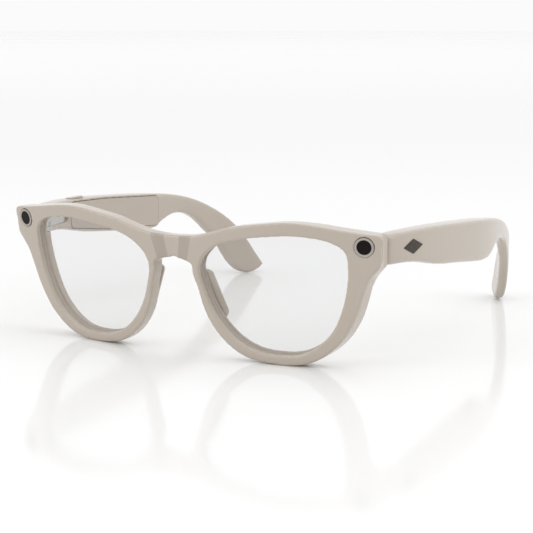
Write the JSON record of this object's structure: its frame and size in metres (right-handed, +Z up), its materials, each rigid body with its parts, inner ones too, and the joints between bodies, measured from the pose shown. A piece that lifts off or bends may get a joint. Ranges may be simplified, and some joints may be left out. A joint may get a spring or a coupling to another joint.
{
  "type": "smart glasses",
  "caption": "Camera smart glasses with a rounded cat-eye front, ring modules in the end pieces, electronics in wide temples and folding hinges.",
  "frame": {"origin": "on the ground plane below the middle of the overall box, with the glasses standing open on the rim bottoms and ear tips", "axes": "+X towards the wearer's left, +Y from the front face back to the ear tips, +Z up"},
  "size_m": [0.1542, 0.1574, 0.0484],
  "materials": {
    "frame_plastic": "polished moulded beige",
    "cover_plastic": "fine satin",
    "lens_glass": "clear",
    "window_black": "gloss black",
    "ring_satin": "satin",
    "steel": "brushed",
    "dark_inlay": "polished dark",
    "board": "solder resist",
    "black_plastic": "matte",
    "gold_contact": "plated",
    "flex_film": "film",
    "tin_can": "tinned",
    "cell_wrap": "foil wrap",
    "guide": "frosted"
  },
  "bodies": {
    "front": {"front_rim": "frame_plastic", "back_cover": "cover_plastic", "front_flex_cable": "flex_film", "left_lens": "lens_glass", "right_lens": "lens_glass", "left_nose_pad": "frame_plastic", "right_nose_pad": "frame_plastic", "camera_bezel": "ring_satin", "camera_window": "window_black", "camera_barrel": "black_plastic", "camera_board": "board", "light_bezel": "ring_satin", "light_window": "window_black", "light_guide": "guide", "light_board": "board", "charging_contacts": "gold_contact", "bridge_microphone": "black_plastic", "left_front_leaf": "steel", "right_front_leaf": "steel", "left_hinge_pin": "steel", "right_hinge_pin": "steel"},
    "left_temple": {"left_temple_shell": "frame_plastic", "left_inner_cover": "cover_plastic", "left_temple_leaf": "steel", "left_leaf_screws": "steel", "left_emblem": "dark_inlay", "left_speaker": "black_plastic", "left_microphone": "black_plastic", "mainboard": "board", "shield_can": "tin_can", "power_switch": "black_plastic"},
    "right_temple": {"right_temple_shell": "frame_plastic", "right_inner_cover": "cover_plastic", "right_temple_leaf": "steel", "right_leaf_screws": "steel", "right_emblem": "dark_inlay", "right_speaker": "black_plastic", "right_microphone": "black_plastic", "battery": "cell_wrap", "touch_board": "board", "capture_switch": "black_plastic"},
    "capture_button": {"capture_button": "frame_plastic"},
    "power_knob": {"power_knob": "black_plastic"}
  },
  "joints": [
    {"name": "left_temple_fold", "type": "hinge", "parent": "front", "child": "left_temple", "pos_m": [0.064, -0.062, 0.0386], "axis": [0, 0, 1], "range_deg": [0, 87]},
    {"name": "right_temple_fold", "type": "hinge", "parent": "front", "child": "right_temple", "pos_m": [-0.064, -0.062, 0.0386], "axis": [0, 0, -1], "range_deg": [0, 64]},
    {"name": "capture_press", "type": "slide", "parent": "right_temple", "child": "capture_button", "axis": [0, 0, -1], "range_m": [0, 0.0004], "stiffness_N_per_m": 4000, "springref_m": -0.0002},
    {"name": "power_slide", "type": "slide", "parent": "left_temple", "child": "power_knob", "axis": [0, 1, 0], "range_m": [0, 0.002]}
  ]
}
